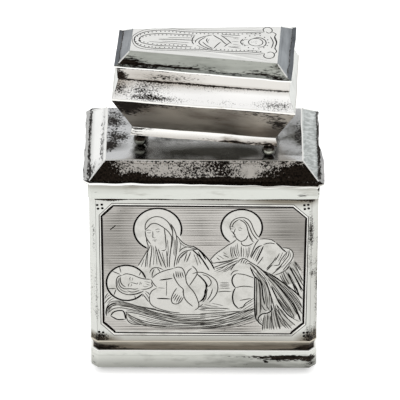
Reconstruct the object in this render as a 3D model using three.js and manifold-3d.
// A silver sepulchre casket: a canted box with a hipped, lift-off cover, and on the cover's flat
// deck a small sarcophagus on ball feet with a lid of its own.
// Millimetres, +Z up. The origin is the middle of the plinth's foot, on the table.
// -Y is the engraved front, and +X is the head end of the sarcophagus.

import * as THREE from "three";
import { mergeVertices } from "three/addons/utils/BufferGeometryUtils.js";
import Module from "manifold-3d";

const wasm = await Module();
wasm.setup();

// Casket walls
const casketLength = 90.0;
const casketDepth = 50.5;
const wallCant = 2.6;
const wallHeight = 68.55;
const wallGauge = 1.2;

// Plinth, cove and floor
const plinthProud = 0.1;
const plinthFaceHeight = 6.2;
const plinthStripHeight = 2.3;
const plinthStripLean = 0.3;
const plinthGauge = 1.2;
const plinthFlangeWidth = 3.4;
const plinthFlangeGauge = 1.0;
const coveFootInset = 0.9;
const coveHollow = 0.2;
const coveHollowHeight = 4.2;
const coveBeadProud = 0.1;
const coveBeadHeight = 0.6;
const coveWallGauge = 1.2;
const floorGauge = 1.0;
const floorClearance = 0.3;

// Cover
const bandProud = 0.45;
const bandCant = 0.9;
const bandHeight = 7.0;
const bandGauge = 1.0;
const lipReach = 2.4;
const lipCant = 2.9;
const lipGauge = 1.0;
const lipSeatWidth = 5.0;
const coverHipRun = 6.4;
const coverHipRise = 5.8;
const coverSheetGauge = 1.2;
const deckGauge = 1.0;
const coverBezelGauge = 1.0;
const coverBezelDrop = 5.0;
const coverBezelClearance = 0.35;

// Sarcophagus, whose sizes are taken at its belt
const tombLength = 71.7;
const tombFootEndWidth = 28.8;
const tombHeadEndWidth = 42.4;
const tombTurn = THREE.MathUtils.degToRad(-2.6);
const tombShiftX = 0.5;
const tombStandoff = 14.85;
const trayInset = 6.95;
const trayLean = 0.8;
const trayHeight = 3.4;
const trayWallGauge = 1.2;
const trayFloorGauge = 1.0;
const flareRise = 16.5;
const flareGauge = 1.1;
const beltGauge = 0.8;
const beltSeatWidth = 4.4;
const scotiaHeight = 13.0;
const scotiaGauge = 1.0;
const scotiaFootInset = 0.2;
const scotiaWaistInset = 2.75;
const scotiaWaistHeight = 8.0;
const scotiaTopInset = 2.1;
const scotiaBelly = 0.66;
const scotiaSteps = 7;
const fasciaProud = 0.3;

// Ball feet of the sarcophagus
const footHeight = 6.3;
const footInset = 3.6;
const footBallRadius = 2.7;
const footContactRadius = 1.1;
const footNeckRadius = 1.3;
const footCollarRadius = 2.4;
const footCollarHeight = 0.8;
const footTurns = 24;

// Lid of the sarcophagus
const lidGap = 0.3;
const lidTurn = THREE.MathUtils.degToRad(-0.9);
const lidInset = 1.3;
const lidEdgeHeight = 0.65;
const lidFilletRun = 1.45;
const lidFilletRise = 0.4;
const lidHipRun = 4.35;
const lidHipRise = 3.6;
const lidSheetGauge = 1.1;
const lidTopGauge = 0.9;
const lidBezelGauge = 0.8;
const lidBezelDrop = 2.6;
const lidBezelClearance = 0.65;
const lidBezelSeat = 0.8;

// Solder seams between sheets that meet at a mitre
const seam = 0.1;

// Heights that follow from the sizes above
const plinthHeight = plinthFaceHeight + plinthStripHeight;
const coveHeight = coveHollowHeight + coveBeadHeight;
const coverFoot = plinthHeight + coveHeight + wallHeight;
const lipTop = bandHeight + lipGauge;
const coverHeight = lipTop + coverHipRise;
const trayTop = footHeight + trayHeight;
const beltTop = trayTop + flareRise + beltGauge;
const scotiaTop = beltTop + scotiaHeight;

// The sarcophagus stands this far back from the middle of the deck's front edge
const tombShiftY = tombStandoff - (casketDepth / 2 - coverHipRun);

// Cutters and half planes reach past every piece by this much
const past = 120;
const cutPast = 1;

const silver = {
  satin: new THREE.MeshStandardMaterial({ color: "#c9c9c4", roughness: 0.38, metalness: 1 }),
  polished: new THREE.MeshStandardMaterial({ color: "#dcdcd8", roughness: 0.12, metalness: 1 }),
  dark: new THREE.MeshStandardMaterial({ color: "#6f6a63", roughness: 0.45, metalness: 1 }),
};

function solidOf(geometry) {
  const bare = geometry.clone();
  bare.deleteAttribute("normal");
  bare.deleteAttribute("uv");
  const merged = mergeVertices(bare, 1e-5);
  const vertProperties = new Float32Array(merged.attributes.position.array);
  const triVerts = new Uint32Array(merged.index.array);
  return new wasm.Manifold(new wasm.Mesh({ numProp: 3, vertProperties, triVerts }));
}

function geometryOf(solid) {
  const mesh = solid.getMesh();
  const geometry = new THREE.BufferGeometry();
  geometry.setAttribute("position", new THREE.BufferAttribute(mesh.vertProperties, 3));
  geometry.setIndex(new THREE.BufferAttribute(mesh.triVerts, 1));
  return geometry;
}

// A plan is the outline seen from above, counter-clockwise from the front left.
function cantedPlan(length, depth, cant) {
  const x = length / 2;
  const y = depth / 2;
  return [
    [-x + cant, -y], [x - cant, -y], [x, -y + cant], [x, y - cant],
    [x - cant, y], [-x + cant, y], [-x, y - cant], [-x, -y + cant],
  ].map(([px, py]) => new THREE.Vector2(px, py));
}

function taperedPlan(length, leftDepth, rightDepth) {
  const x = length / 2;
  return [
    [-x, -leftDepth / 2], [x, -rightDepth / 2], [x, rightDepth / 2], [-x, leftDepth / 2],
  ].map(([px, py]) => new THREE.Vector2(px, py));
}

// The long bar whose face follows a line of [inset, height] pairs behind one edge of the plan.
function sideBar(plan, index, line) {
  const start = plan[index];
  const end = plan[(index + 1) % plan.length];
  const along = end.clone().sub(start).normalize();
  const top = line[line.length - 1][1];
  const bottom = line[0][1];
  const section = new THREE.Shape([
    ...line.map(([inset, height]) => new THREE.Vector2(inset, height)),
    new THREE.Vector2(past, top),
    new THREE.Vector2(past, bottom),
  ]);
  const depth = start.distanceTo(end) + 2 * past;
  const bar = new THREE.ExtrudeGeometry(section, { depth, bevelEnabled: false });
  const inward = new THREE.Vector3(-along.y, along.x, 0);
  const up = new THREE.Vector3(0, 0, 1);
  const run = new THREE.Vector3(along.x, along.y, 0);
  const place = new THREE.Matrix4().makeBasis(inward, up, run);
  place.setPosition(start.x - along.x * past, start.y - along.y * past, 0);
  return solidOf(bar.applyMatrix4(place));
}

// The block whose every side follows the same line, mitred at the corners of the plan.
function moulded(plan, line) {
  return plan.map((_, index) => sideBar(plan, index, line)).reduce((a, b) => a.intersect(b));
}

// The same line, run on past both ends so that a cut goes right through.
function runThrough(line) {
  const [firstInset, firstHeight] = line[0];
  const [lastInset, lastHeight] = line[line.length - 1];
  return [[firstInset, firstHeight - cutPast], ...line, [lastInset, lastHeight + cutPast]];
}

function frame(plan, outerLine, innerLine) {
  return moulded(plan, outerLine).subtract(moulded(plan, runThrough(innerLine)));
}

// Sheet of one gauge, bent along a line: the inner face is the outer one moved in by the gauge.
function sheet(plan, line, gauge) {
  return frame(plan, line, line.map(([inset, height]) => [inset + gauge, height]));
}

function upright(inset, bottom, top) {
  return [[inset, bottom], [inset, top]];
}

// The inward move of a corner of the plan when both its edges move in by one millimetre.
function cornerMove(plan, index) {
  const count = plan.length;
  const before = plan[index].clone().sub(plan[(index + count - 1) % count]).normalize();
  const after = plan[(index + 1) % count].clone().sub(plan[index]).normalize();
  const first = new THREE.Vector2(-before.y, before.x);
  const second = new THREE.Vector2(-after.y, after.x);
  return first.clone().add(second).divideScalar(1 + first.dot(second));
}

function insetCorner(plan, index, inset) {
  return plan[index].clone().addScaledVector(cornerMove(plan, index), inset);
}

// The length of a frame that belongs to one edge of the plan, cut at the mitres with a seam.
function side(solid, plan, index, reach) {
  const next = (index + 1) % plan.length;
  const along = plan[next].clone().sub(plan[index]).normalize().multiplyScalar(seam / 2);
  const outline = [
    insetCorner(plan, index, -reach).add(along),
    insetCorner(plan, next, -reach).sub(along),
    insetCorner(plan, next, reach).sub(along),
    insetCorner(plan, index, reach).add(along),
  ];
  const cutter = new THREE.ExtrudeGeometry(new THREE.Shape(outline), {
    depth: 2 * past,
    bevelEnabled: false,
  });
  return solid.intersect(solidOf(cutter.translate(0, 0, -past)));
}

function piece(name, solid, material) {
  const mesh = new THREE.Mesh(geometryOf(solid), material);
  mesh.name = name;
  return mesh;
}

const sideNames = ["front", "right", "rear", "left"];
const tombSideNames = ["front", "head_end", "rear", "foot_end"];
const cantedSideNames = [
  "front_wall", "corner_strip_front_right", "right_wall", "corner_strip_rear_right",
  "rear_wall", "corner_strip_rear_left", "left_wall", "corner_strip_front_left",
];

// Plinth: a hollow foot with a leaning strip at its top and a flange inwards for the floor.
function makePlinth() {
  const plan = cantedPlan(casketLength, casketDepth, wallCant);
  const face = [
    [-plinthProud, 0],
    [-plinthProud, plinthFaceHeight],
    [-plinthProud + plinthStripLean, plinthHeight],
  ];
  const hollow = upright(plinthGauge, -cutPast, plinthHeight - plinthFlangeGauge);
  const opening = upright(plinthGauge + plinthFlangeWidth, 0, plinthHeight);
  return moulded(plan, face)
    .subtract(moulded(plan, hollow))
    .subtract(moulded(plan, runThrough(opening)));
}

// Cove between plinth and walls: deep at its foot, with a bead at its top.
function makeCove() {
  const plan = cantedPlan(casketLength, casketDepth, wallCant);
  const hollow = new THREE.SplineCurve([
    new THREE.Vector2(coveFootInset, 0),
    new THREE.Vector2(coveFootInset + coveHollow, coveHollowHeight * 0.3),
    new THREE.Vector2(coveFootInset * 0.7, coveHollowHeight * 0.7),
    new THREE.Vector2(0, coveHollowHeight),
  ]).getPoints(6);
  const face = [
    ...hollow.map((point) => [point.x, point.y + plinthHeight]),
    [-coveBeadProud, plinthHeight + coveHollowHeight],
    [-coveBeadProud, plinthHeight + coveHeight],
  ];
  const back = coveFootInset + coveHollow + coveWallGauge;
  return frame(plan, face, upright(back, plinthHeight, plinthHeight + coveHeight));
}

function makeFloor() {
  const plan = cantedPlan(casketLength, casketDepth, wallCant);
  const inset = coveFootInset + coveHollow + coveWallGauge + floorClearance;
  return moulded(plan, upright(inset, plinthHeight, plinthHeight + floorGauge));
}

function makeCasket() {
  const casket = new THREE.Group();
  casket.add(piece("plinth", makePlinth(), silver.satin));
  casket.add(piece("plinth_cove", makeCove(), silver.dark));
  casket.add(piece("floor_plate", makeFloor(), silver.dark));
  const plan = cantedPlan(casketLength, casketDepth, wallCant);
  const foot = plinthHeight + coveHeight;
  const walls = sheet(plan, upright(0, foot, foot + wallHeight), wallGauge);
  cantedSideNames.forEach((name, index) => {
    casket.add(piece(name, side(walls, plan, index, 2 * wallGauge), silver.satin));
  });
  return casket;
}

// The cover's band stands on the walls' top edge. Its corners are nearly square, so they
// stand proud of the canted corner strips. The bezel under it fits inside the walls.
function makeCoverBand() {
  const plan = cantedPlan(casketLength, casketDepth, bandCant);
  return sheet(plan, upright(-bandProud, 0, bandHeight), bandGauge);
}

function makeCoverBezel() {
  const plan = cantedPlan(casketLength, casketDepth, wallCant);
  const inset = wallGauge + coverBezelClearance;
  return sheet(plan, upright(inset, -coverBezelDrop, bandHeight), coverBezelGauge);
}

function makeCoverLip() {
  const plan = cantedPlan(casketLength + 2 * lipReach, casketDepth + 2 * lipReach, lipCant);
  const face = upright(0, bandHeight, lipTop);
  return frame(plan, face, upright(lipReach + lipSeatWidth, bandHeight, lipTop));
}

function makeCover() {
  const cover = new THREE.Group();
  cover.position.z = coverFoot;
  cover.add(piece("cover_band", makeCoverBand(), silver.satin));
  cover.add(piece("cover_lip", makeCoverLip(), silver.satin));
  cover.add(piece("cover_bezel", makeCoverBezel(), silver.dark));
  const plan = taperedPlan(casketLength, casketDepth, casketDepth);
  const deckFoot = coverHeight - deckGauge;
  const hipRun = (coverHipRun * (coverHipRise - deckGauge)) / coverHipRise;
  const hips = sheet(plan, [[0, lipTop], [hipRun, deckFoot]], coverSheetGauge);
  sideNames.forEach((name, index) => {
    const hip = side(hips, plan, index, 2 * coverHipRun);
    cover.add(piece("cover_hip_" + name, hip, silver.satin));
  });
  const deck = moulded(plan, [[hipRun, deckFoot], [coverHipRun, coverHeight]]);
  cover.add(piece("roof_deck", deck, silver.polished));
  return cover;
}

// A ball foot turned with a neck and a collar under the tray.
function makeFoot() {
  const centre = Math.sqrt(footBallRadius ** 2 - footContactRadius ** 2);
  const neckAngle = Math.acos(footNeckRadius / footBallRadius);
  const contactAngle = -Math.acos(footContactRadius / footBallRadius);
  const ballSteps = 8;
  const profile = [new THREE.Vector2(0, 0)];
  for (let step = 0; step <= ballSteps; step += 1) {
    const angle = contactAngle + ((neckAngle - contactAngle) * step) / ballSteps;
    const radius = footBallRadius * Math.cos(angle);
    const height = centre + footBallRadius * Math.sin(angle);
    profile.push(new THREE.Vector2(radius, step === 0 ? 0 : height));
  }
  profile.push(new THREE.Vector2(footNeckRadius, footHeight - footCollarHeight));
  profile.push(new THREE.Vector2(footCollarRadius, footHeight - footCollarHeight));
  profile.push(new THREE.Vector2(footCollarRadius, footHeight));
  profile.push(new THREE.Vector2(0, footHeight));
  const turned = new THREE.LatheGeometry(profile, footTurns);
  return solidOf(turned.rotateX(Math.PI / 2));
}

function addFeet(tomb, plan) {
  const names = ["front_foot_end", "front_head_end", "rear_head_end", "rear_foot_end"];
  names.forEach((name, index) => {
    const spot = insetCorner(plan, index, trayInset + footInset);
    const foot = piece("ball_foot_" + name, makeFoot(), silver.dark);
    foot.position.set(spot.x, spot.y, 0);
    tomb.add(foot);
  });
}

function makeTray(plan) {
  const face = [[trayInset, footHeight], [trayInset + trayLean, trayTop]];
  const inset = trayInset + trayLean + trayWallGauge;
  const hollow = upright(inset, footHeight + trayFloorGauge, trayTop + cutPast);
  return moulded(plan, face).subtract(moulded(plan, hollow));
}

// Moulding between belt and lid: a hollow draws in to a waist, and a leaning fascia stands
// a little proud of it above.
function scotiaLine() {
  const belly = scotiaFootInset + (scotiaWaistInset - scotiaFootInset) * scotiaBelly;
  const hollow = new THREE.QuadraticBezierCurve(
    new THREE.Vector2(scotiaFootInset, 0),
    new THREE.Vector2(belly, scotiaWaistHeight / 2),
    new THREE.Vector2(scotiaWaistInset, scotiaWaistHeight),
  );
  return [
    ...hollow.getPoints(scotiaSteps).map((point) => [point.x, beltTop + point.y]),
    [scotiaWaistInset - fasciaProud, beltTop + scotiaWaistHeight],
    [scotiaTopInset, scotiaTop],
  ];
}

function makeTomb() {
  const tomb = new THREE.Group();
  tomb.position.set(tombShiftX, tombShiftY, coverFoot + coverHeight);
  tomb.rotation.z = tombTurn;
  const plan = taperedPlan(tombLength, tombFootEndWidth, tombHeadEndWidth);
  addFeet(tomb, plan);
  tomb.add(piece("base_tray", makeTray(plan), silver.polished));

  const flareTop = trayTop + flareRise;
  const flareFoot = trayInset + trayLean;
  const flare = sheet(plan, [[flareFoot, trayTop], [0, flareTop]], flareGauge);
  const belt = frame(plan, upright(0, flareTop, beltTop), upright(beltSeatWidth, flareTop, beltTop));
  tomb.add(piece("belt_frame", belt, silver.polished));
  const scotia = sheet(plan, scotiaLine(), scotiaGauge);
  tombSideNames.forEach((name, index) => {
    const flareSide = side(flare, plan, index, flareFoot + 2 * flareGauge);
    tomb.add(piece("flare_" + name, flareSide, silver.dark));
    const scotiaSide = side(scotia, plan, index, scotiaWaistInset + 2 * scotiaGauge);
    tomb.add(piece("scotia_" + name, scotiaSide, silver.satin));
  });
  return tomb;
}

// The lid's flange covers the moulding's top, and its bezel drops inside the moulding.
function makeLidFlange(plan) {
  const top = lidEdgeHeight + lidFilletRise;
  const face = [[lidInset, 0], [lidInset, lidEdgeHeight], [lidInset + lidFilletRun, top]];
  const bezelBack = scotiaWaistInset + scotiaGauge + lidBezelClearance + lidBezelGauge;
  return frame(plan, face, upright(bezelBack + lidBezelSeat, 0, top));
}

function makeLidBezel(plan) {
  const inset = scotiaWaistInset + scotiaGauge + lidBezelClearance;
  return sheet(plan, upright(inset, -lidBezelDrop, 0), lidBezelGauge);
}

function makeLid() {
  const lid = new THREE.Group();
  lid.position.z = scotiaTop + lidGap;
  lid.rotation.z = lidTurn;
  const plan = taperedPlan(tombLength, tombFootEndWidth, tombHeadEndWidth);
  lid.add(piece("lid_flange", makeLidFlange(plan), silver.polished));
  lid.add(piece("lid_bezel", makeLidBezel(plan), silver.dark));
  const hipFoot = lidEdgeHeight + lidFilletRise;
  const hipInset = lidInset + lidFilletRun;
  const topFoot = hipFoot + lidHipRise - lidTopGauge;
  const topInset = hipInset + (lidHipRun * (lidHipRise - lidTopGauge)) / lidHipRise;
  const hips = sheet(plan, [[hipInset, hipFoot], [topInset, topFoot]], lidSheetGauge);
  tombSideNames.forEach((name, index) => {
    const hip = side(hips, plan, index, hipInset + lidHipRun + 2 * lidSheetGauge);
    lid.add(piece("lid_hip_" + name, hip, silver.satin));
  });
  const faceLine = [[topInset, topFoot], [hipInset + lidHipRun, hipFoot + lidHipRise]];
  lid.add(piece("lid_top", moulded(plan, faceLine), silver.polished));
  return lid;
}

const sepulchre = new THREE.Group();
const tomb = makeTomb();
tomb.add(makeLid());
sepulchre.add(makeCasket(), makeCover(), tomb);

export default sepulchre;
